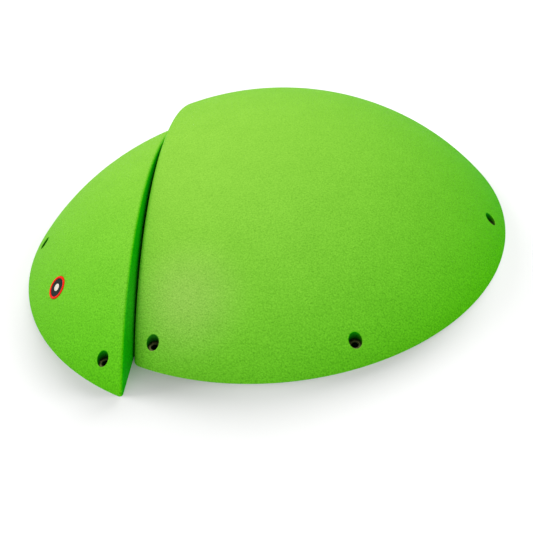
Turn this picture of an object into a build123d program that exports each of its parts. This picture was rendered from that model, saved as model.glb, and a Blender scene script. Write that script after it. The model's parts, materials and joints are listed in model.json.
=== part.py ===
"""Two-piece screw-on climbing volume: a low dome split by one straight cut.

The frame is millimetres with +Z away from the wall.  The origin is the centre of the
footprint on the wall face.  +X runs across the cut, from the small segment to the large one,
and the small segment is shifted along the cut towards -Y.
"""
from build123d import *
import math
import os

# Outer form
base_radius = 275.0        # rim of the dome on the wall face
dome_height = 136.0        # crown above the wall face
shoulder = 49.0            # how far the spheroid that the dome is a cap of would reach past the rim
cut_offset = 119.5         # cut line on the wall face, from the dome's axis
cut_gap = 0.9              # between the two cut walls on the wall face
cut_draft = 0.5            # lean of each cut wall in degrees, so that it leaves the mould
slide = 51.0               # shift of the small segment along the cut
large_edge_round = 11.0    # rounding where the dome meets the cut wall
small_edge_round = 7.0

# Hollow back
shell_wall = 9.0           # thickness under the dome
cut_wall = 11.0            # thickness behind a cut wall
rim_band = 36.0            # width of the solid band that bears on the wall
cavity_draft = 3.0         # lean of the band's inner side in degrees
rib_thickness = 8.0        # ribs that carry the crown down to the wall
large_rib_offset = 62.0    # long rib of the large shell, from the dome's axis

# Screw holes
screw_inset = 17.5         # hole centres on the dome's surface, in from the rim
screw_tilt = 15.0          # outward lean of the hole axes in degrees, for the driver
screw_bore_radius = 3.2    # clearance hole for a 6 mm wood screw
recess_radius = 7.1        # counterbore for the screw head
recess_depth = 9.2         # counterbore floor below the surface, along the hole axis
large_end_setback = 23.0   # end holes of the large segment, from the cut line
small_end_setback = 24.5   # end holes of the small segment, from the cut line
large_middle_angles = (-64.0, -4.0, 64.0)
small_middle_angles = (-177.0,)

# Moulded-in washers
washer_thickness = 1.6
washer_side_clearance = 0.3    # to the counterbore's wall
washer_bore_clearance = 0.25   # washer hole over the screw hole, on the radius
washer_seat_depth = 0.9        # countersink that the screw head lies in

# Maker's badge
badge_angle = -151.5
badge_inset = 31.5         # badge's centre on the dome's surface, in from the rim
badge_radius = 13.5
badge_pocket_depth = 1.5   # pocket floor below the surface
badge_side_clearance = 0.2
badge_plate = 0.9          # thickness of the badge's plate
badge_rim_width = 2.6      # raised ring round the plate
badge_rim_height = 1.2     # ring above the plate
badge_inlay_thickness = 0.8
badge_inlay_clearance = 0.1
badge_dot_radius = 4.2
badge_dot_thickness = 0.3

# Values that follow from the driving dimensions
side_axis = base_radius + shoulder          # horizontal half axis of the spheroid
screw_circle = base_radius - screw_inset
badge_circle = base_radius - badge_inset
rise_share = 1 - math.sqrt(1 - (base_radius / side_axis) ** 2)
up_axis = dome_height / rise_share          # vertical half axis of the spheroid
centre_drop = up_axis - dome_height         # spheroid's centre below the wall face
reach = 2 * base_radius                     # longer than any cut through the dome
draft_tangent = math.tan(math.radians(cut_draft))


def dome_surface_height(radius):
    """Height of the outer surface at a distance from the dome's axis."""
    return up_axis * math.sqrt(1 - (radius / side_axis) ** 2) - centre_drop


def dome_surface_slope(radius):
    """Angle of the outer surface down from level, in degrees."""
    fall = up_axis * radius / (side_axis ** 2 * math.sqrt(1 - (radius / side_axis) ** 2))
    return math.degrees(math.atan(fall))


def spheroid_cap(inset):
    """Solid above the wall face, under the outer surface moved inwards by inset."""
    flatness = (up_axis - inset) / (side_axis - inset)
    spheroid = scale(Sphere(side_axis - inset), by=(1, 1, flatness))
    above_wall = Pos(0, 0, reach / 2) * Box(2 * reach, 2 * reach, reach)
    return Pos(0, 0, -centre_drop) * spheroid & above_wall


def half_space(side, line, depth):
    """Block on one side of a drafted cut wall.

    side is +1 for the large segment and -1 for the small one, line is where the
    wall meets the wall face and depth moves the wall into the material.
    """
    start = line + side * depth
    end = line + side * reach
    lean = side * reach * draft_tangent
    corners = [(start, 0), (end, 0), (end, reach), (start + lean, reach)]
    with BuildPart() as block:
        with BuildSketch(Plane.XZ):
            with BuildLine():
                Polyline(*corners, close=True)
            make_face()
        extrude(amount=reach, both=True)
    return block.part


def rib(offset_x, length_x, length_y):
    """Upright rib from the wall face up through the crown."""
    return Pos(offset_x, 0, dome_height) * Box(length_x, length_y, 2 * dome_height)


def hole_location(radius, angle, tilt):
    """Frame on the dome's surface: Z leans outwards by tilt, X points outwards."""
    place = Location((0, 0, 0), (0, 0, angle)) * Pos(radius, 0, dome_surface_height(radius))
    return place * Location((0, 0, 0), (0, tilt, 0))


def cut_screw_hole(shell, place):
    """Counterbore and clearance hole, both on the hole's own axis."""
    floor = place * Pos(0, 0, -recess_depth)
    recess = floor * Pos(0, 0, reach / 2) * Cylinder(recess_radius, reach)
    bore = floor * Cylinder(screw_bore_radius, reach)
    return shell - recess - bore


def make_washer(place):
    """Flat ring on the counterbore's floor with a countersunk seat."""
    outer = recess_radius - washer_side_clearance
    inner = screw_bore_radius + washer_bore_clearance
    flat = washer_thickness - washer_seat_depth
    with BuildPart() as washer:
        with BuildSketch(Plane.XZ):
            with BuildLine():
                Polyline(
                    (inner, 0), (outer, 0), (outer, washer_thickness),
                    (inner + washer_seat_depth, washer_thickness), (inner, flat), close=True,
                )
            make_face()
        revolve(axis=Axis.Z)
    return place * Pos(0, 0, -recess_depth) * washer.part


def badge_location():
    """Frame of the badge's pocket floor, square to the dome's surface."""
    slope = dome_surface_slope(badge_circle)
    return hole_location(badge_circle, badge_angle, slope) * Pos(0, 0, -badge_pocket_depth)


def make_badge(place):
    """Ringed plate, the inlay inside its ring and the dot on the inlay."""
    plate_radius = badge_radius - badge_side_clearance
    well_radius = plate_radius - badge_rim_width
    above_plate = badge_plate + badge_rim_height
    ring = Pos(0, 0, above_plate / 2) * Cylinder(plate_radius, above_plate)
    well_centre = badge_plate + badge_rim_height / 2
    ring -= Pos(0, 0, well_centre) * Cylinder(well_radius, badge_rim_height)
    inlay_centre = badge_plate + badge_inlay_thickness / 2
    inlay_radius = well_radius - badge_inlay_clearance
    inlay = Pos(0, 0, inlay_centre) * Cylinder(inlay_radius, badge_inlay_thickness)
    dot_centre = badge_plate + badge_inlay_thickness + badge_dot_thickness / 2
    dot = Pos(0, 0, dot_centre) * Cylinder(badge_dot_radius, badge_dot_thickness)
    return {"badge_ring": place * ring, "badge_inlay": place * inlay, "badge_dot": place * dot}


def make_shell(side, edge_round, rib_blocks, hole_places):
    """One half of the dome: outer skin, rounded cut edge, hollow back, ribs and holes."""
    line = -cut_offset + side * cut_gap / 2
    shell = spheroid_cap(0) & half_space(side, line, 0)
    cut_face = shell.faces().filter_by(GeomType.PLANE).sort_by(Axis.Z)[-1]
    arch = cut_face.edges().sort_by(Axis.Z)[-1]
    shell = fillet(arch, edge_round)
    inner_radius = base_radius - rim_band
    top_radius = inner_radius - dome_height * math.tan(math.radians(cavity_draft))
    hollow = Pos(0, 0, dome_height / 2) * Cone(inner_radius, top_radius, dome_height)
    hollow &= spheroid_cap(shell_wall)
    hollow &= half_space(side, line, cut_wall)
    for block in rib_blocks:
        hollow -= block
    shell -= hollow
    for place in hole_places:
        shell = cut_screw_hole(shell, place)
    return shell


def hole_angles(side, setback, middle_angles):
    """Angles of a segment's holes: one beside each end of the cut and the rest between."""
    end_angle = math.degrees(math.acos((side * setback - cut_offset) / screw_circle))
    return (-end_angle, *middle_angles, end_angle)


def build_segment(side, name, edge_round, angles, rib_blocks):
    """Shell and washers of one segment, in the dome's own frame."""
    places = [hole_location(screw_circle, angle, screw_tilt) for angle in angles]
    pieces = {f"{name}_shell": make_shell(side, edge_round, rib_blocks, places)}
    for number, place in enumerate(places, start=1):
        pieces[f"{name}_washer_{number}"] = make_washer(place)
    return pieces


def build_volume():
    """All pieces by node name, in the frame on the wall face."""
    cross_rib = rib(0, 2 * reach, rib_thickness)
    long_rib = rib(large_rib_offset, rib_thickness, 2 * reach)
    large_angles = hole_angles(1, large_end_setback, large_middle_angles)
    small_angles = hole_angles(-1, small_end_setback, small_middle_angles)
    large = build_segment(1, "large", large_edge_round, large_angles, [cross_rib, long_rib])
    small = build_segment(-1, "small", small_edge_round, small_angles, [cross_rib])
    pocket = badge_location() * Pos(0, 0, reach / 2) * Cylinder(badge_radius, reach)
    small["small_shell"] -= pocket
    small.update(make_badge(badge_location()))
    moved = {node: Pos(0, -slide, 0) * solid for node, solid in small.items()}
    pieces = {**large, **moved}
    shells = Compound([pieces["large_shell"], pieces["small_shell"]])
    middle = shells.bounding_box().center()
    return {node: Pos(-middle.X, -middle.Y, 0) * solid for node, solid in pieces.items()}


os.makedirs("parts", exist_ok=True)
for node, solid in build_volume().items():
    export_step(solid, f"parts/{node}.step")
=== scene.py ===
# %% [markdown]
# # A climbing volume in two pieces
# A volume is a large hollow shape that is screwed to a climbing wall, so that climbers can stand on it
# or hang smaller holds on it. This one is a low dome. One straight cut splits it into a large and a
# small segment, and the small segment sits slid along the cut, which leaves a step at both ends.
# The CAD model settles where each piece is and how large it is. This lesson loads it as a fixed frame
# and builds a finished mesh for each piece in the same place.

# %% The fixed frame
import json
import math

import bmesh
import bpy
from mathutils import Matrix, Vector


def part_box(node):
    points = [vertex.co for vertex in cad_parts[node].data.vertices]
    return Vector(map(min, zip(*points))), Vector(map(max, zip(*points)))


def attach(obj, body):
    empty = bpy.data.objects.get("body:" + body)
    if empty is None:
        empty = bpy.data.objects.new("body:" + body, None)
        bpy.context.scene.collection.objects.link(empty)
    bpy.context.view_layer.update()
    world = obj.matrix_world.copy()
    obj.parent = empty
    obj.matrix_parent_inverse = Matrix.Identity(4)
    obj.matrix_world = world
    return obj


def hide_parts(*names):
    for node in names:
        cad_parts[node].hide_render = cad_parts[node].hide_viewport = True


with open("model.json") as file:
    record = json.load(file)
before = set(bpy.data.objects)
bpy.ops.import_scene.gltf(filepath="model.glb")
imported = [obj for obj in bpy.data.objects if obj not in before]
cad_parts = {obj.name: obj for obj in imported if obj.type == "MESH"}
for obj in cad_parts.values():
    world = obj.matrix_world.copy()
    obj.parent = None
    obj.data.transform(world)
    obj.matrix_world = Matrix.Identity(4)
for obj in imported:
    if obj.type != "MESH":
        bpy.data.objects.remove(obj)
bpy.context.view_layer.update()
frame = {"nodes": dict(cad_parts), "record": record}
print("pieces in the frame:", len(frame["nodes"]))

# %% [markdown]
# ## Sizes
# Blender works in metres, so each size is written in millimetres and multiplied once. The radius, the
# height, the cut and both axes of the dome come from the boxes of the CAD pieces. What a box can't
# tell, such as a wall or a hole, is repeated here from the design.

# %% Sizes from the frame and from the design
MM = 0.001
SAME_PLACE = 1e-6           # corners closer than this are one corner
ON_PLANE = 1e-7             # corners this near a plane lie on it
large_low, large_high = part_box("large_shell")
small_low, small_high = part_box("small_shell")
RIM = (large_high.y - large_low.y) / 2
CROWN = large_high.z
SHOULDER = 49 * MM           # how far the spheroid behind the dome reaches past the rim
CUT_GAP = 0.9 * MM
CUT_DRAFT = math.tan(math.radians(0.5))
WALL = 9 * MM
CUT_WALL = 11 * MM
RIM_BAND = 36 * MM
BAND_DRAFT = math.tan(math.radians(3))
RIB = 8 * MM
LONG_RIB = 62 * MM           # long rib of the large segment, from the dome's axis
SCREW_CIRCLE = RIM - 17.5 * MM
SCREW_TILT = math.radians(15)
BORE = 3.2 * MM
RECESS = 7.1 * MM
RECESS_DEPTH = 9.2 * MM
BADGE_CIRCLE = RIM - 31.5 * MM
BADGE_ANGLE = math.radians(-151.5)
BADGE = 13.5 * MM
BADGE_DEPTH = 1.5 * MM
print(f"dome {2 * RIM:.3f} m across and {CROWN:.3f} m high")

# %% [markdown]
# ## The dome's form
# The skin is the cap of a flattened sphere, a spheroid. Its half axes follow from the rim, the crown
# and the shoulder, so one formula gives the height of the skin anywhere. A line that is shot at the
# spheroid gives the place where a tilted screw hole comes out through the skin.

# %% Height, slope and hits on the spheroid
SIDE_AXIS = RIM + SHOULDER
UP_AXIS = CROWN / (1 - math.sqrt(1 - (RIM / SIDE_AXIS) ** 2))
DROP = UP_AXIS - CROWN       # the spheroid's centre lies this far below the wall face


def skin_height(x, y, inset=0.0):
    """Height of the skin, or of the surface that lies inset below it."""
    share = math.hypot(x, y) / (SIDE_AXIS - inset)
    return (UP_AXIS - inset) * math.sqrt(1 - share ** 2) - DROP


def skin_slope(radius):
    """Angle of the skin down from level, at a distance from the dome's axis."""
    level = math.sqrt(1 - (radius / SIDE_AXIS) ** 2)
    return math.atan(UP_AXIS * radius / (SIDE_AXIS ** 2 * level))


def skin_hit(start, direction):
    """Point where a line through start leaves the spheroid."""
    stretch = Vector((1 / SIDE_AXIS, 1 / SIDE_AXIS, 1 / UP_AXIS))
    near = (start + Vector((0, 0, DROP))) * stretch
    along = direction * stretch
    half, square = near.dot(along), along.dot(along)
    return start + direction * ((math.sqrt(half ** 2 - square * (near.dot(near) - 1)) - half) / square)


print(f"skin leans {math.degrees(skin_slope(RIM)):.1f} degrees at the rim")

# %% [markdown]
# ## Two segments from one description
# Both segments are the same kind of shape: a part of the disc on one side of a straight chord. The
# side is +1 or -1, and it mirrors the plan, so every later function serves both. The small segment
# is the slid one, which shows only in where its dome axis lies.

# %% The two segments
class Segment:
    """One half of the volume, described in the frame of its own dome axis."""

    def __init__(self, name, side, cut, axis_y, edge_round, end_setback, middle_angles, ribs):
        self.name = name
        self.side = side
        self.cut = side * cut            # of the chord from the axis, + towards the segment's own rim
        self.half_chord = math.sqrt(RIM ** 2 - cut ** 2)
        self.end_angle = math.acos(self.cut / RIM)
        self.axis = Vector((0, axis_y, 0))
        self.edge_round = edge_round
        hole_x = side * end_setback + cut - side * CUT_GAP / 2
        end_hole = math.acos(hole_x / SCREW_CIRCLE)
        self.holes = [-end_hole, *map(math.radians, middle_angles), end_hole]
        self.ribs = ribs


large = Segment("large", 1, large_low.x, (large_low.y + large_high.y) / 2,
                11 * MM, 23 * MM, (-64, -4, 64), ("cross", "long"))
small = Segment("small", -1, large_low.x - CUT_GAP, (small_low.y + small_high.y) / 2,
                7 * MM, 24.5 * MM, (-177,), ("cross",))
for segment in (large, small):
    angles = [round(math.degrees(a), 1) for a in segment.holes]
    print(segment.name, "axis y", round(segment.axis.y, 4), "hole angles", angles)

# %% [markdown]
# ## The skin as a grid
# A moulded dome has no pole, and a sphere's fan of triangles at the crown would show in the shading. A
# square grid can be stretched over the plan instead: one side runs along the cut and the other three
# along the rim, and a Coons patch fills the middle evenly. Only then is each corner lifted to the
# skin. The first row stays wide, because the rounding of the cut edge needs that room later.

# %% The skin of one segment
STEP = 2.4 * MM
FIRST_ROW = 11.5 * MM
CORNER_SHARE = 0.47          # where the grid's far corners sit on the rim


def rim_point(angle):
    return Vector((RIM * math.cos(angle), RIM * math.sin(angle)))


def chord_point(segment, along):
    """Where the leaning cut wall meets the skin, from the -Y end at 0 to the +Y end at 1."""
    y = segment.half_chord * (2 * along - 1)
    x = segment.cut
    for _ in range(6):                   # the skin's height depends on x in turn
        x = segment.cut + CUT_DRAFT * skin_height(x, y)
    return Vector((x, y))


def plan_point(segment, across, along):
    """Coons patch over the segment's plan: across runs from the cut to the rim."""
    corner = CORNER_SHARE * segment.end_angle
    side_angle = segment.end_angle + across * (corner - segment.end_angle)
    sides = rim_point(-side_angle).lerp(rim_point(side_angle), along)
    ends = chord_point(segment, along).lerp(rim_point(corner * (2 * along - 1)), across)
    cut_corners = rim_point(-segment.end_angle).lerp(rim_point(segment.end_angle), along)
    far_corners = rim_point(-corner).lerp(rim_point(corner), along)
    return sides + ends - cut_corners.lerp(far_corners, across)


def make_skin(bm, segment):
    """Grid over the segment. Returns the edges along the cut, in no order."""
    side_length = RIM * segment.end_angle * (1 - CORNER_SHARE)
    rows = round(side_length / STEP)
    columns = round(2 * segment.half_chord / STEP)
    bmesh.ops.create_grid(bm, x_segments=rows, y_segments=columns, size=0.5)
    first = FIRST_ROW / side_length
    cut_verts = set()
    for vert in bm.verts:
        across, along = vert.co.x + 0.5, vert.co.y + 0.5
        row = round(across * rows)
        across = 0 if row == 0 else first + (1 - first) * (row - 1) / (rows - 1)
        if row == 0:
            cut_verts.add(vert)
        x, y = plan_point(segment, across, along)
        vert.co = Vector((segment.side * x, y, skin_height(x, y)))
        if abs(vert.co.z) < ON_PLANE:
            vert.co.z = 0
    print(segment.name, "skin grid", rows, "by", columns)
    return [e for e in bm.edges if e.verts[0] in cut_verts and e.verts[1] in cut_verts]


# %% [markdown]
# ## The cut wall and its rounded edge
# Where the two segments meet, each has a flat wall that leans by half a degree so that it leaves its
# mould. The skin and the wall meet at nearly the same angle all along the edge, so a bevel of one width
# gives one radius. At the two ends a bevel would pile up against the wall face, so the skin first runs
# on below it as a skirt, and the rounded block is cut off at the wall face afterwards. A thin inset
# round the flat wall keeps the shading of the round off it, and a few cuts across it give the corners
# that carry its colour later.

# %% Cut wall, edge rounding and the cut at the wall face
EDGE_TURN = math.radians(70)     # between the outward directions of skin and wall
EDGE_SEGMENTS = 8
SKIRT = 14 * MM                  # how deep the skirt hangs below the wall face
FLAT_BORDER = 1.5 * MM
WALL_STEP = 5 * MM
FLAT = 0.9999                    # least share of X in the direction of the flat wall


def once(items):
    """Each item once, in the order given, because a set's order would change from run to run."""
    return list(dict.fromkeys(items))


def skirt_point(segment, corner, at_cut):
    """Where the skin would be if it ran on from an outline corner, below the wall face."""
    radius = SIDE_AXIS * math.sqrt(1 - ((DROP - SKIRT) / UP_AXIS) ** 2)
    if not at_cut:
        return Vector((*(corner.xy.normalized() * radius), -SKIRT))
    x = segment.cut - CUT_DRAFT * SKIRT
    return Vector((segment.side * x, math.copysign(math.sqrt(radius ** 2 - x ** 2), corner.y), -SKIRT))


def add_cut_wall(bm, segment, cut_edges):
    """Closes the segment with its cut wall, rounds the edge, and cuts all off at the wall face."""
    ends = once(v for e in cut_edges for v in e.verts if v.co.z == 0)
    places = [v.co.copy() for v in ends]
    cut = set(cut_edges)
    outline = [e for e in bm.edges if e.is_boundary and e not in cut]
    made = bmesh.ops.extrude_edge_only(bm, edges=outline)["geom"]
    low = {g for g in made if isinstance(g, bmesh.types.BMVert)}
    for vert in low:
        at_cut = any((vert.co - place).length < SAME_PLACE for place in places)
        vert.co = skirt_point(segment, vert.co, at_cut)
    cut_edges = cut_edges + [e for v in ends for e in v.link_edges if low.intersection(e.verts)]
    chord = bm.edges.new([v for e in cut_edges for v in e.verts if v in low])
    outline = [e for e in bm.edges if e.is_boundary and low.issuperset(e.verts)]
    bmesh.ops.edgeloop_fill(bm, edges=cut_edges + [chord])
    bmesh.ops.edgeloop_fill(bm, edges=outline + [chord])
    bmesh.ops.recalc_face_normals(bm, faces=bm.faces)
    offset = segment.edge_round * math.tan(EDGE_TURN / 2)
    bmesh.ops.bevel(bm, geom=cut_edges, offset=offset, offset_type="OFFSET", profile=0.5,
                    segments=EDGE_SEGMENTS, affect="EDGES", material=-1, clamp_overlap=False)
    geom = bm.verts[:] + bm.edges[:] + bm.faces[:]
    bmesh.ops.bisect_plane(bm, geom=geom, dist=ON_PLANE, plane_co=(0, 0, 0), plane_no=(0, 0, 1),
                           clear_inner=True)
    wall = max(bm.faces, key=lambda f: f.calc_area())
    print(segment.name, f"cut wall {wall.calc_area() * 1e4:.0f} cm2")
    bmesh.ops.inset_region(bm, faces=[wall], thickness=FLAT_BORDER, use_even_offset=True)
    for normal in (Vector((0, 1, 0)), Vector((0, 0, 1))):
        reach = round(segment.half_chord / WALL_STEP)
        for step in range(-reach, reach):
            flat = [f for f in bm.faces if abs(f.normal.x) > FLAT]
            geom = once(g for f in flat for g in (f, *f.edges, *f.verts))
            bmesh.ops.bisect_plane(bm, geom=geom, plane_co=normal * (step + 0.5) * WALL_STEP,
                                   plane_no=normal)


# %% [markdown]
# ## Holes that follow the skin
# A screw hole is a counterbore for the head, a washer's seat and a clearance bore, all on one axis
# that leans outward for the driver. Cutting it with a boolean would leave slivers round the mouth, and
# they would spoil the small round lip. So the skin is opened a little wider, a ring of corners is laid
# on the skin round the opening, and the hole is drawn down from that ring by extruding it.

# %% Helpers for rings on the skin
RING_SEGMENTS = 64


def frame_on_skin(radius, angle, tilt):
    """Matrix on the skin: Z leans outwards by tilt and X points outwards."""
    place = Matrix.Rotation(angle, 4, "Z") @ Matrix.Translation((radius, 0, skin_height(radius, 0)))
    return place @ Matrix.Rotation(tilt, 4, "Y")


def open_skin(bm, place, radius):
    """Takes out the skin round a hole's axis and returns the edges of the gap."""
    back = place.inverted()
    doomed = []
    for face in bm.faces:
        local = back @ face.calc_center_median()
        if local.xy.length < radius and abs(local.z) < 2 * radius:
            doomed.append(face)
    pinched = True
    while pinched:                       # a gap that touches itself can't be filled cleanly
        inside = set(doomed)
        gap = once(e for f in doomed for e in f.edges if not inside.issuperset(e.link_faces))
        corners = [v for e in gap for v in e.verts]
        pinched = [v for v in corners if corners.count(v) > 2]
        doomed = once(doomed + [f for v in pinched for f in v.link_faces])
    bmesh.ops.delete(bm, geom=doomed, context="FACES")
    return gap


def ring_on_skin(bm, place, radius):
    """Loop of edges on the skin, at a distance from the hole's axis."""
    axis = place.to_3x3() @ Vector((0, 0, 1))
    verts = bmesh.ops.create_circle(bm, segments=RING_SEGMENTS, radius=radius, matrix=place)["verts"]
    for vert in verts:
        vert.co = skin_hit(vert.co, axis)
    return once(e for v in verts for e in v.link_edges)


def extrude_ring(bm, edges, move):
    """Extrudes a loop and puts each new corner where move says. Returns the new loop."""
    made = bmesh.ops.extrude_edge_only(bm, edges=edges)["geom"]
    verts = {g for g in made if isinstance(g, bmesh.types.BMVert)}
    for vert in verts:
        vert.co = move(vert.co)
    return [g for g in made if isinstance(g, bmesh.types.BMEdge) and verts.issuperset(g.verts)]


def at_radius(place, radius, depth=None):
    """Move to a distance from the axis: onto the skin, or to a depth below the hole's mouth."""
    back = place.inverted()
    axis = place.to_3x3() @ Vector((0, 0, 1))

    def move(corner):
        x, y = (back @ corner).xy.normalized() * radius
        if depth is None:
            return skin_hit(place @ Vector((x, y, 0)), axis)
        return place @ Vector((x, y, -depth))

    return move


def round_ring(bm, edges, offset, segments=3):
    bmesh.ops.bevel(bm, geom=edges, offset=offset, offset_type="OFFSET", segments=segments,
                    profile=0.5, affect="EDGES", material=-1, clamp_overlap=False)


def skin_normal(point):
    """Outward normal of the spheroid."""
    x, y, z = point
    return Vector((x / SIDE_AXIS ** 2, y / SIDE_AXIS ** 2, (z + DROP) / UP_AXIS ** 2)).normalized()


def lay_collar(bm, place, radius, collar):
    """Opens the skin and lays a collar of rings on it. Returns the ring at the hole's mouth."""
    gap = open_skin(bm, place, radius + 2 * collar)
    outer = ring_on_skin(bm, place, radius + collar)
    normal = skin_normal(place.translation)
    bmesh.ops.triangle_fill(bm, use_beauty=True, edges=gap + outer, normal=normal)
    bmesh.ops.recalc_face_normals(bm, faces=bm.faces)
    middle = extrude_ring(bm, outer, at_radius(place, radius + collar / 2))
    return extrude_ring(bm, middle, at_radius(place, radius))


# %% [markdown]
# The counterbore keeps a small round lip at its mouth, which catches the light. The corner at its
# floor is moulded too, so it gets a smaller round. The bore runs on to the wall face.

# %% Screw holes and the badge's pocket
COLLAR = 2.2 * MM            # width of the rings that are laid round a mouth
LIP = 0.55 * MM
FLOOR_ROUND = 0.35 * MM


def add_screw_hole(bm, place):
    axis = place.to_3x3() @ Vector((0, 0, 1))
    mouth = lay_collar(bm, place, RECESS, COLLAR)
    floor = extrude_ring(bm, mouth, at_radius(place, RECESS, RECESS_DEPTH))
    bore = extrude_ring(bm, floor, at_radius(place, BORE, RECESS_DEPTH))
    extrude_ring(bm, bore, lambda corner: corner - axis * (corner.z / axis.z))
    round_ring(bm, mouth, LIP)
    round_ring(bm, floor, FLOOR_ROUND, 2)


def add_badge_pocket(bm, place):
    mouth = lay_collar(bm, place, BADGE, COLLAR)
    floor = extrude_ring(bm, mouth, at_radius(place, BADGE, BADGE_DEPTH))
    bmesh.ops.edgeloop_fill(bm, edges=floor)
    round_ring(bm, mouth, LIP / 2)


def screw_frame(angle):
    return frame_on_skin(SCREW_CIRCLE, angle, SCREW_TILT)


badge_frame = frame_on_skin(BADGE_CIRCLE, BADGE_ANGLE, skin_slope(BADGE_CIRCLE))
print("screw holes:", len(large.holes) + len(small.holes))

# %% [markdown]
# ## The hollow back
# The real shell is cast round a core, which leaves a hollow back with ribs that carry the crown down
# to the wall. One profile spun about the dome's axis gives the whole core. Cutting it by planes at the
# ribs and behind the cut wall leaves one block for each cell, and a block turned inside out is the
# inner surface of the cell.

# %% Cells of the back
CORE_STEPS = 120             # round the dome's axis
ARC_POINTS = 28              # down the core's arc


def core_profile():
    """Points from the top of the core, down its arc and its leaning side, to the middle below."""
    inner = RIM - RIM_BAND
    low, high = 0.5 * inner, inner
    for _ in range(40):                  # halving closes in on where the arc meets the side
        radius = (low + high) / 2
        if skin_height(radius, 0, WALL) < (inner - radius) / BAND_DRAFT:
            low = radius
        else:
            high = radius
    arc = [radius * i / ARC_POINTS for i in range(ARC_POINTS + 1)]
    points = [Vector((r, 0, skin_height(r, 0, WALL))) for r in arc]
    return points + [Vector((inner, 0, 0)), Vector((0, 0, 0))]


def keep_side(bm, point, normal):
    """Cuts a closed block by a plane, keeps what the normal points to and fills the cut."""
    geom = bm.verts[:] + bm.edges[:] + bm.faces[:]
    cut = bmesh.ops.bisect_plane(bm, geom=geom, dist=ON_PLANE, plane_co=point, plane_no=normal,
                                 clear_inner=True)["geom_cut"]
    bmesh.ops.edgeloop_fill(bm, edges=[g for g in cut if isinstance(g, bmesh.types.BMEdge)])


def make_cell(segment, planes):
    """Inner surface of one cell, open at the wall face, as a mesh."""
    bm = bmesh.new()
    verts = [bm.verts.new(p) for p in core_profile()]
    edges = [bm.edges.new(pair) for pair in zip(verts, verts[1:])]
    bmesh.ops.spin(bm, geom=verts + edges, axis=(0, 0, 1), cent=(0, 0, 0), angle=2 * math.pi,
                   steps=CORE_STEPS, use_merge=True)
    bmesh.ops.remove_doubles(bm, verts=bm.verts, dist=SAME_PLACE)
    bmesh.ops.recalc_face_normals(bm, faces=bm.faces)
    for point, normal in planes:
        keep_side(bm, point, normal)
    mouth = [f for f in bm.faces if max(v.co.z for v in f.verts) < SAME_PLACE]
    bmesh.ops.delete(bm, geom=mouth, context="FACES")
    mesh = bpy.data.meshes.new(segment.name + "_cell")
    bm.to_mesh(mesh)
    bm.free()
    return mesh


def cell_planes(segment):
    """The planes round each cell: behind the cut wall and beside the ribs."""
    side = segment.side
    behind_cut = (Vector((side * (segment.cut + CUT_WALL), 0, 0)), Vector((side, 0, -CUT_DRAFT)))
    front = (Vector((0, -RIB / 2, 0)), Vector((0, -1, 0)))
    rear = (Vector((0, RIB / 2, 0)), Vector((0, 1, 0)))
    if "long" not in segment.ribs:
        return [[behind_cut, front], [behind_cut, rear]]
    near = (Vector((LONG_RIB - RIB / 2, 0, 0)), Vector((-1, 0, 0)))
    far = (Vector((LONG_RIB + RIB / 2, 0, 0)), Vector((1, 0, 0)))
    return [[behind_cut, near, front], [behind_cut, near, rear], [far, front], [far, rear]]


print("cells in the backs:", sum(len(cell_planes(segment)) for segment in (large, small)))

# %% [markdown]
# ## Closing the shell
# All that is still open lies on the wall face: the outline, the bores and the mouths of the cells.
# One triangle fill closes them together and leaves the holes open. An inset gives the fill a clean
# border, so that the sharp corner round the wall face shades cleanly.

# %% Closing the wall face
BASE_BORDER = 2.5 * MM


def close_base(bm):
    rim = [e for e in bm.edges if e.is_boundary]
    high = [e for e in rim if max(v.co.z for v in e.verts) > SAME_PLACE]
    print("  open edges on the wall face", len(rim), "and above it", len(high))
    made = bmesh.ops.triangle_fill(bm, use_beauty=True, edges=rim, normal=(0, 0, -1))["geom"]
    base = [g for g in made if isinstance(g, bmesh.types.BMFace)]
    bmesh.ops.recalc_face_normals(bm, faces=bm.faces)
    bmesh.ops.inset_region(bm, faces=base, thickness=BASE_BORDER, use_even_offset=True)


# %% [markdown]
# ## Painted shade and painted light on the corners
# The colour isn't the same all over. Down the holes and in the gap between the segments the colour is
# painted nearly black, a painted shade where little light reaches, and the front end of the small
# segment takes less of the painted top light than the rest. Places like these belong to the piece and
# not to a pattern, so each corner of the mesh carries two values that the material reads later, one
# for the painted shade and one for the share of painted light.

# %% Painted shade and painted light on the corners of the mesh
HOLE_SHADE = 0.35            # how dark the painted shade is on a counterbore's wall just under its lip
HOLE_MARGIN = 0.02 * MM      # so that the counterbore's own wall counts as inside it
CREVICE = 8 * MM             # how far below the skin the gap's painted shade begins
WALL_MARGIN = 0.2 * MM       # corners this near the plane of the cut wall lie on it
# Painted light: round this point at the small segment's front end, out to the reach below, the skin
# gets less painted top light.
LESS_LIT_END = Vector((-0.14, -0.24, 0.0))
LESS_LIT_REACH = 0.36


def mark_hole_shade(bm, places):
    """Painted shade down each screw hole: 0 on the skin, and darker with depth down each hole."""
    raw = bm.verts.layers.float.new("raw")
    for place in places:
        back = place.inverted()
        for vert in bm.verts:
            local = back @ vert.co
            if local.xy.length < RECESS + HOLE_MARGIN and abs(local.z) < 4 * RECESS:
                depth = (skin_hit(vert.co, place.col[2].xyz) - vert.co).length
                vert[raw] = min(1, HOLE_SHADE + depth / RECESS_DEPTH) if depth > LIP else 0


def mark_gap_shade(bm, segment):
    """Paints the same shade on the flat cut wall, below where the other segment stands close in front
    of it.
    """
    raw = bm.verts.layers.float["raw"]
    other = small if segment is large else large
    for vert in bm.verts:
        x, y, z = vert.co
        if abs(segment.side * x - segment.cut - CUT_DRAFT * z) < WALL_MARGIN:
            other_y = min(RIM, abs(y + segment.axis.y - other.axis.y))
            edge = skin_height(segment.cut, other_y)
            vert[raw] = (edge - z - CREVICE) / CREVICE


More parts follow.
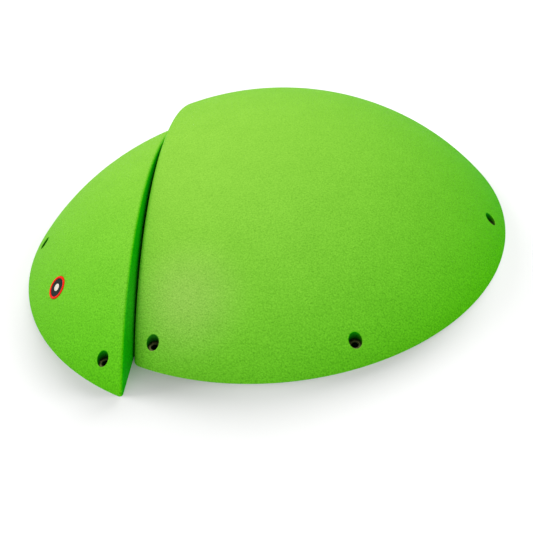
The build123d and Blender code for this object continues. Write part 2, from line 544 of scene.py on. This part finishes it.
def mark_painted_light_share(bm, segment):
    """Says how much of the painted top light the skin takes: less round the small segment's front end.
    """
    worn = bm.verts.layers.float.new("worn")
    for vert in bm.verts:
        near = max(0, 1 - (vert.co - LESS_LIT_END).length / LESS_LIT_REACH) if segment is small else 0
        vert[worn] = 1 - near


# %% [markdown]
# ## A finished shell
# Each shell goes through the same steps: skin, cut wall, holes, cells, and the closed wall face. A
# closed mesh has a volume, and comparing it with the CAD solid shows that nothing is missing. The
# sign of the volume also tells whether the faces point outwards.

# %% Both shells
def make_shell(segment):
    bm = bmesh.new()
    cut_edges = make_skin(bm, segment)
    add_cut_wall(bm, segment, cut_edges)
    for angle in segment.holes:
        add_screw_hole(bm, screw_frame(angle))
    if segment is small:
        add_badge_pocket(bm, badge_frame)
    for planes in cell_planes(segment):
        cell = make_cell(segment, planes)
        bm.from_mesh(cell)
        bpy.data.meshes.remove(cell)
    close_base(bm)
    bmesh.ops.recalc_face_normals(bm, faces=bm.faces)
    mark_hole_shade(bm, [screw_frame(angle) for angle in segment.holes])
    mark_gap_shade(bm, segment)
    mark_painted_light_share(bm, segment)
    bmesh.ops.translate(bm, vec=segment.axis, verts=bm.verts)
    return finish_mesh(bm, segment.name + "_shell_cast")


def finish_mesh(bm, name, sharp=math.radians(34)):
    """Object at the origin with smooth faces and sharp corners kept."""
    for face in bm.faces:
        face.smooth = True
    for edge in bm.edges:
        edge.smooth = edge.calc_face_angle(0) < sharp
    open_edges = sum(not e.is_manifold for e in bm.edges)
    mesh = bpy.data.meshes.new(name)
    volume = bm.calc_volume(signed=True)
    if volume < 0:
        bmesh.ops.reverse_faces(bm, faces=bm.faces)
    bm.to_mesh(mesh)
    bm.free()
    piece = bpy.data.objects.new(name, mesh)
    bpy.context.scene.collection.objects.link(piece)
    print(f"{name}: {len(mesh.polygons)} faces, {open_edges} open edges, {abs(volume) * 1e6:.2f} cm3")
    return piece


def cad_volume(node):
    """Volume of a CAD piece, for comparison."""
    bm = bmesh.new()
    bm.from_mesh(frame["nodes"][node].data)
    bmesh.ops.remove_doubles(bm, verts=bm.verts, dist=SAME_PLACE)
    volume = bm.calc_volume(signed=True)
    bm.free()
    return volume


shells = {segment.name: make_shell(segment) for segment in (large, small)}
for segment in (large, small):
    print(segment.name, f"CAD volume {cad_volume(segment.name + '_shell') * 1e6:.2f} cm3")

# %% [markdown]
# ## Washers
# A plated washer is moulded into the floor of each counterbore, so that the screw's head can't pull
# through the soft plastic. It is a turned part, so its section is drawn once and spun about the
# screw's axis. The countersink in it seats the head, and all four edges are broken.

# %% Turned parts and the washers
TURN_STEPS = 96
WASHER = RECESS - 0.3 * MM
WASHER_BORE = BORE + 0.25 * MM
WASHER_THICKNESS = 1.6 * MM
SEAT = 0.9 * MM              # width and depth of the countersink
EDGE_BREAK = 0.16 * MM


def turn(section, edge_break, place, name):
    """Spins a closed section of (radius, height) points, breaks its edges and puts it in place."""
    bm = bmesh.new()
    verts = [bm.verts.new((radius, 0, height)) for radius, height in section]
    loop = list(zip(verts, verts[1:] + verts[:1]))
    on_axis = [max(a.co.x, b.co.x) < ON_PLANE for a, b in loop]
    edges = [bm.edges.new(pair) for pair, skip in zip(loop, on_axis) if not skip]
    bmesh.ops.spin(bm, geom=verts + edges, axis=(0, 0, 1), cent=(0, 0, 0), angle=2 * math.pi,
                   steps=TURN_STEPS, use_merge=True)
    bmesh.ops.remove_doubles(bm, verts=bm.verts, dist=SAME_PLACE)
    bmesh.ops.recalc_face_normals(bm, faces=bm.faces)
    corners = [e for e in bm.edges if e.calc_face_angle(0) > math.radians(25)]
    bmesh.ops.bevel(bm, geom=corners, offset=edge_break, offset_type="OFFSET", segments=3,
                    profile=0.5, affect="EDGES", material=-1, clamp_overlap=True)
    bmesh.ops.transform(bm, matrix=place, verts=bm.verts)
    return finish_mesh(bm, name)


def make_washer(segment, number, angle):
    section = [
        (WASHER_BORE, 0), (WASHER, 0), (WASHER, WASHER_THICKNESS),
        (WASHER_BORE + SEAT, WASHER_THICKNESS), (WASHER_BORE, WASHER_THICKNESS - SEAT),
    ]
    floor = Matrix.Translation((0, 0, -RECESS_DEPTH))
    place = Matrix.Translation(segment.axis) @ screw_frame(angle) @ floor
    return turn(section, EDGE_BREAK, place, f"{segment.name}_cup_washer_{number}")


washers = {}
for segment in (large, small):
    for number, angle in enumerate(segment.holes, start=1):
        washers[f"{segment.name}_washer_{number}"] = make_washer(segment, number, angle)

# %% [markdown]
# ## The badge
# A small enamelled badge sits in a shallow pocket of the small segment. It has a ringed plate, an
# inlay in the ring's well, and a pale dot on the inlay. Each is turned like the washers. The ring's
# crest is rounded so far that it reads as a bead, and the inlay is slightly crowned, as enamel is
# when it sets.

# %% The badge's three pieces
PLATE = 0.9 * MM
RING = BADGE - 0.2 * MM
RING_WIDTH = 2.6 * MM
RING_TOP = PLATE + 1.2 * MM
INLAY = RING - RING_WIDTH - 0.1 * MM
INLAY_TOP = PLATE + 0.8 * MM
DOT = 4.2 * MM
DOT_TOP = INLAY_TOP + 0.3 * MM
CROWNING = 0.1 * MM


def crowned_disc(radius, bottom, top):
    """Section of a disc whose top falls a little towards its edge."""
    arc = [(radius * i / 8, top - CROWNING * (i / 8) ** 2) for i in range(8, -1, -1)]
    return [(0, bottom), (radius, bottom)] + arc


badge_place = (
    Matrix.Translation(small.axis) @ badge_frame @ Matrix.Translation((0, 0, -BADGE_DEPTH))
)
ring_section = [
    (0, 0), (RING, 0), (RING, RING_TOP), (RING - RING_WIDTH, RING_TOP),
    (RING - RING_WIDTH, PLATE), (0, PLATE),
]
badge = {
    "badge_ring": turn(ring_section, 0.7 * MM, badge_place, "badge_enamel_ring"),
    "badge_inlay": turn(crowned_disc(INLAY, PLATE, INLAY_TOP), 0.12 * MM, badge_place,
                        "badge_enamel_inlay"),
    "badge_dot": turn(crowned_disc(DOT, INLAY_TOP - CROWNING, DOT_TOP), 0.1 * MM, badge_place,
                      "badge_enamel_dot"),
}

# %% [markdown]
# ## Helpers for finishes
# A finish is a graph of nodes that ends in one shader. Most nodes here are textures and ramps that
# differ only in a few values, so three helpers make a material, a node with its values, and a ramp.

# %% Helpers for materials
def new_material(name):
    """Material with a Principled shader. Returns it, its nodes, its links and the shader."""
    material = bpy.data.materials.new(name)
    material.use_nodes = True
    tree = material.node_tree
    return material, tree.nodes, tree.links, tree.nodes["Principled BSDF"]


def add_node(nodes, kind, **values):
    """Adds a node. A value goes to the input of that name, or else to the node's own setting."""
    node = nodes.new(kind)
    for key, value in values.items():
        label = key.replace("_", " ")
        if label in node.inputs:
            node.inputs[label].default_value = value
        else:
            setattr(node, key, value)
    return node


def ramp(nodes, stops):
    """Colour ramp with the given (position, colour) stops."""
    node = nodes.new("ShaderNodeValToRGB")
    elements = node.color_ramp.elements
    for element, (position, colour) in zip(elements, (stops[0], stops[-1])):
        element.position, element.color = position, (*colour, 1)
    for position, colour in stops[1:-1]:
        elements.new(position).color = (*colour, 1)
    return node


# %% [markdown]
# ## Friction plastic
# The shell is cast polyurethane with a friction texture like coarse sandpaper: rounded grains about a
# millimetre wide. Each grain catches light on one side, so bump makes most of it, and the colour
# follows the grains too, painted darker in the pits and paler on the tips, a painted shade and
# highlight. A very soft mottling under it comes from the casting. All patterns read Object
# coordinates, so they keep their scale on both segments and stay put when the object is turned. What
# faces up is painted paler and yellower, a painted top light, and the grain's painted shade fades
# there; one patch at the corner by the cut is painted towards a pale dusty tint, a painted sheen.

# %% The green friction plastic
GRAIN = 620                  # grains per metre, roughly
# Painted top light: the skin's green runs from the deepest tone on faces turned away from above to the
# palest, yellower tone on faces that look up.
GREEN_DEEP = (0.008, 0.54, 0.001)
GREEN_MID = (0.086, 0.57, 0.001)
GREEN_PALE = (0.256, 0.582, 0.052)
# Painted shade: the near-black green that the holes and the gap are painted with.
PAINTED_SHADE_GREEN = (0.001, 0.014, 0.001)
# Painted sheen: the pale tint that one patch by the cut is painted towards.
SHEEN_TINT = (0.60, 0.61, 0.25)
LESS_LIT_SHARE = 0.62        # how much of the painted top light the small segment's front end keeps
PALE_SIDE = (-0.27, -0.02, 0.96)     # the way the skin with the most painted top light faces
SHEEN_SPOT = (-0.062, -0.20, 0.055)       # middle of the patch with painted sheen
SHEEN_REACH = 0.08
SHEEN_STRENGTH = 0.22               # how far the middle of that patch is painted towards the sheen tint


def friction_plastic():
    material, nodes, links, shader = new_material("lime_friction_plastic")
    where = add_node(nodes, "ShaderNodeTexCoord")
    grain = add_node(nodes, "ShaderNodeTexNoise", Scale=GRAIN, Detail=2.0, Roughness=0.55)
    pits = add_node(nodes, "ShaderNodeTexVoronoi", Scale=GRAIN * 0.8, feature="SMOOTH_F1",
                    Smoothness=0.6)
    mottle = add_node(nodes, "ShaderNodeTexNoise", Scale=30.0, Detail=3.0, Roughness=0.6)
    for texture in (grain, pits, mottle):
        links.new(where.outputs["Object"], texture.inputs["Vector"])

    # Painted top light: faces that look up are painted paler and yellower, less so where the mesh says.
    facing = add_node(nodes, "ShaderNodeVectorMath", operation="DOT_PRODUCT")
    links.new(where.outputs["Normal"], facing.inputs[0])
    facing.inputs[1].default_value = PALE_SIDE
    worn = add_node(nodes, "ShaderNodeAttribute", attribute_name="worn")
    pale = add_node(nodes, "ShaderNodeMapRange", To_Min=LESS_LIT_SHARE)
    links.new(worn.outputs["Fac"], pale.inputs["Value"])
    paleness = add_node(nodes, "ShaderNodeMath", operation="MULTIPLY")
    links.new(facing.outputs["Value"], paleness.inputs[0])
    links.new(pale.outputs["Result"], paleness.inputs[1])
    green = ramp(nodes, [(0.0, GREEN_DEEP), (0.34, GREEN_MID), (1.0, GREEN_PALE)])
    links.new(paleness.outputs["Value"], green.inputs["Fac"])

    # Painted shade and highlight on the grain: darker where the grain is low, paler where it is high,
    # fading where the painted top light is strongest.
    grain_painted_shade = ramp(nodes, [(0.28, (0.66, 0.74, 0.60)), (0.5, (1, 1, 1)), (0.74, (1.35, 1.18, 1.5))])
    grain_fade = add_node(nodes, "ShaderNodeMapRange", From_Min=0.5, From_Max=0.95, To_Min=1.0, To_Max=0.5)
    links.new(paleness.outputs["Value"], grain_fade.inputs["Value"])
    links.new(grain.outputs["Fac"], grain_painted_shade.inputs["Fac"])
    mottle_shade = ramp(nodes, [(0.3, (0.94, 0.96, 0.92)), (0.7, (1, 1, 1))])
    links.new(mottle.outputs["Fac"], mottle_shade.inputs["Fac"])
    # Painted sheen: one patch by the cut is painted towards a pale dusty tint.
    away = add_node(nodes, "ShaderNodeVectorMath", operation="DISTANCE")
    links.new(where.outputs["Object"], away.inputs[0])
    away.inputs[1].default_value = SHEEN_SPOT
    sheen_fade = add_node(nodes, "ShaderNodeMapRange", interpolation_type="SMOOTHSTEP",
                       From_Max=SHEEN_REACH, To_Min=SHEEN_STRENGTH, To_Max=0.0)
    links.new(away.outputs["Value"], sheen_fade.inputs["Value"])
    sheen_mix = add_node(nodes, "ShaderNodeMix", data_type="RGBA")
    links.new(sheen_fade.outputs["Result"], sheen_mix.inputs["Factor"])
    links.new(green.outputs["Color"], sheen_mix.inputs["A"])
    sheen_mix.inputs["B"].default_value = (*SHEEN_TINT, 1)

    colour = sheen_mix.outputs["Result"]
    for shade in (grain_painted_shade, mottle_shade):
        tint = add_node(nodes, "ShaderNodeMix", data_type="RGBA", blend_type="MULTIPLY")
        tint.inputs["Factor"].default_value = 1.0
        links.new(colour, tint.inputs["A"])
        links.new(shade.outputs["Color"], tint.inputs["B"])
        if shade is grain_painted_shade:
            links.new(grain_fade.outputs["Result"], tint.inputs["Factor"])
        colour = tint.outputs["Result"]

    # Painted shade: the holes and the gap are painted nearly black where the mesh says.
    raw = add_node(nodes, "ShaderNodeAttribute", attribute_name="raw")
    painted_shade_mix = add_node(nodes, "ShaderNodeMix", data_type="RGBA")
    links.new(raw.outputs["Fac"], painted_shade_mix.inputs["Factor"])
    links.new(colour, painted_shade_mix.inputs["A"])
    painted_shade_mix.inputs["B"].default_value = (*PAINTED_SHADE_GREEN, 1)
    links.new(painted_shade_mix.outputs["Result"], shader.inputs["Base Color"])

    height = add_node(nodes, "ShaderNodeMath", operation="SUBTRACT")
    links.new(grain.outputs["Fac"], height.inputs[0])
    links.new(pits.outputs["Distance"], height.inputs[1])
    bump = add_node(nodes, "ShaderNodeBump", Strength=0.65, Distance=0.0007)
    links.new(height.outputs["Value"], bump.inputs["Height"])
    links.new(bump.outputs["Normal"], shader.inputs["Normal"])
    shader.inputs["Roughness"].default_value = 0.68
    shader.inputs["Specular IOR Level"].default_value = 0.03
    return material


# %% [markdown]
# ## Plated steel and enamel
# The washers are zinc plated and passivated yellow, uneven in tone and dull. Most of their tones are
# painted nearly black, a painted shade of the deep counterbore they sit in, and only the palest tone
# is the yellow zinc. The enamel is glossy, with a faint orange peel and specks. These finishes are
# small in any view, so their patterns are finer than a millimetre.

# %% Washer and badge finishes
def plated_steel():
    material, nodes, links, shader = new_material("yellow_zinc_steel")
    place = add_node(nodes, "ShaderNodeTexCoord").outputs["Object"]
    cloud = add_node(nodes, "ShaderNodeTexNoise", Scale=420.0, Detail=4.0, Roughness=0.65)
    links.new(place, cloud.inputs["Vector"])
    # Painted shade: the two darker tones stand for the shade in the counterbore, the palest for the
    # zinc.
    tones = [(0.3, (0.020, 0.036, 0.008)), (0.55, (0.07, 0.08, 0.022)), (0.8, (0.27, 0.24, 0.10))]
    tone = ramp(nodes, tones)
    links.new(cloud.outputs["Fac"], tone.inputs["Fac"])
    links.new(tone.outputs["Color"], shader.inputs["Base Color"])
    wear = add_node(nodes, "ShaderNodeMapRange", From_Min=0.3, From_Max=0.8, To_Min=0.34, To_Max=0.6)
    links.new(cloud.outputs["Fac"], wear.inputs["Value"])
    links.new(wear.outputs["Result"], shader.inputs["Roughness"])
    bump = add_node(nodes, "ShaderNodeBump", Strength=0.25, Distance=0.0001)
    links.new(cloud.outputs["Fac"], bump.inputs["Height"])
    links.new(bump.outputs["Normal"], shader.inputs["Normal"])
    shader.inputs["Metallic"].default_value = 0.85
    return material


def enamel(name, dark, light):
    material, nodes, links, shader = new_material(name)
    place = add_node(nodes, "ShaderNodeTexCoord").outputs["Object"]
    specks = add_node(nodes, "ShaderNodeTexNoise", Scale=900.0, Detail=3.0, Roughness=0.6)
    peel = add_node(nodes, "ShaderNodeTexNoise", Scale=700.0, Detail=1.0)
    for texture in (specks, peel):
        links.new(place, texture.inputs["Vector"])
    tone = ramp(nodes, [(0.35, dark), (0.62, light)])
    links.new(specks.outputs["Fac"], tone.inputs["Fac"])
    links.new(tone.outputs["Color"], shader.inputs["Base Color"])
    bump = add_node(nodes, "ShaderNodeBump", Strength=0.12, Distance=0.0001)
    links.new(peel.outputs["Fac"], bump.inputs["Height"])
    links.new(bump.outputs["Normal"], shader.inputs["Normal"])
    shader.inputs["Roughness"].default_value = 0.4
    shader.inputs["Specular IOR Level"].default_value = 0.08
    return material


finishes = {
    "shell": friction_plastic(),
    "washer": plated_steel(),
    "badge_ring": enamel("red_enamel", (0.80, 0.008, 0.001), (0.95, 0.022, 0.003)),
    "badge_inlay": enamel("black_enamel", (0.004, 0.010, 0.010), (0.012, 0.022, 0.022)),
    "badge_dot": enamel("ivory_enamel", (0.66, 0.62, 0.50), (0.82, 0.79, 0.68)),
}
print("finishes:", ", ".join(m.name for m in finishes.values()))

# %% [markdown]
# ## Hanging the pieces on the frame
# Each piece stands for one CAD node, rides on the only body, and takes its finish from the slot that
# the node names in the record.

# %% Pieces onto the frame
pieces = {"large_shell": shells["large"], "small_shell": shells["small"], **washers, **badge}
slots = {part["node"]: part["material_slot"] for part in frame["record"]["subparts"]}
for node, piece in pieces.items():
    piece.data.materials.append(finishes[slots[node]])
    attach(piece, "root")
    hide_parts(node)
print("nodes replaced:", len(pieces))

# %% [markdown]
# ## Studio
# The object lies on a seamless white floor. One large soft light from above models it, and the world
# fills in evenly. The floor has three soft suns of its own, low behind the object and at its sides,
# which make the floor white out to the horizon and leave a pale shadow that hugs the front rim. Light
# linking keeps the suns off the object and the soft light off the floor, so each is balanced apart.

# %% Floor, light and world
FLOOR_SIZE = 12.0
SUN_HEIGHT = math.radians(25)
SUN_SPREAD = math.radians(27)


def area_light(name, place, size, power):
    """Square area light that looks at the middle of the object."""
    data = bpy.data.lights.new(name, "AREA")
    data.size = size
    data.energy = power
    light = bpy.data.objects.new(name, data)
    light.location = place
    light.rotation_euler = (-Vector(place)).to_track_quat("-Z", "Y").to_euler()
    bpy.context.scene.collection.objects.link(light)
    return light


def soft_sun(name, bearing, strength):
    """Wide, low sun that stands at a bearing, counted in degrees from +X towards +Y."""
    data = bpy.data.lights.new(name, "SUN")
    data.angle = SUN_SPREAD
    data.energy = strength
    light = bpy.data.objects.new(name, data)
    light.rotation_euler = (0, math.pi / 2 - SUN_HEIGHT, math.radians(bearing))
    bpy.context.scene.collection.objects.link(light)
    return light


def studio_floor():
    bm = bmesh.new()
    bmesh.ops.create_grid(bm, x_segments=4, y_segments=4, size=FLOOR_SIZE / 2)
    mesh = bpy.data.meshes.new("studio_floor")
    bm.to_mesh(mesh)
    bm.free()
    floor = bpy.data.objects.new("studio_floor", mesh)
    bpy.context.scene.collection.objects.link(floor)
    material, _, _, shader = new_material("white_paper")
    shader.inputs["Base Color"].default_value = (0.7, 0.7, 0.7, 1)
    shader.inputs["Roughness"].default_value = 0.95
    shader.inputs["Specular IOR Level"].default_value = 0.0
    mesh.materials.append(material)
    return floor


def lights_only(light, objects, name):
    """Limits a light to some objects, so that floor and object are balanced apart."""
    group = bpy.data.collections.new(name)
    for item in objects:
        group.objects.link(item)
    light.light_linking.receiver_collection = group


floor = studio_floor()
overhead = area_light("overhead_soft", (-0.53, 0.24, 2.43), 1.6, 45)
lights_only(overhead, pieces.values(), "lit_by_overhead")
for name, bearing, strength in (("left", 150, 2.5), ("back", 85, 4.1), ("right", 30, 1.9)):
    sun = soft_sun("floor_sun_" + name, bearing, strength)
    lights_only(sun, [floor], "lit_by_sun_" + name)
world = bpy.data.worlds.new("studio_fill")
world.use_nodes = True
world.node_tree.nodes["Background"].inputs["Color"].default_value = (1, 1, 1, 1)
world.node_tree.nodes["Background"].inputs["Strength"].default_value = 0.56
bpy.context.scene.world = world
bpy.context.scene.view_settings.view_transform = "Standard"
print("lights:", ", ".join(light.name for light in bpy.data.lights))

# %% [markdown]
# ## Camera
# The camera looks down on the dome from the front and a little from the right, so that the step of
# the small segment's cut wall shows, and it is rolled by a few degrees. The angles turn a level camera
# that looks along +Y. The aim moves it sideways and up in its own plane, so the dome's axis needn't
# be in the middle of the frame.

# %% Camera
DISTANCE = 1.4306
DOWN = 0.646                 # radians, like the next two
TURN = -0.165
ROLL = 0.097
AIM_RIGHT = 0.00484
AIM_UP = 0.04806
LENS = 81.05

turned = Matrix.Rotation(-TURN, 3, "Z") @ Matrix.Rotation(math.pi / 2 - DOWN, 3, "X")
turned = turned @ Matrix.Rotation(-ROLL, 3, "Z")
camera_data = bpy.data.cameras.new("studio_camera")
camera_data.lens = LENS
camera_data.sensor_width = 36
camera = bpy.data.objects.new("studio_camera", camera_data)
camera.matrix_world = (
    Matrix.Translation(large.axis) @ turned.to_4x4()
    @ Matrix.Translation((-AIM_RIGHT, -AIM_UP, DISTANCE))
)
bpy.context.scene.collection.objects.link(camera)
bpy.context.scene.camera = camera
print("camera at", [round(v, 3) for v in camera.matrix_world.translation])
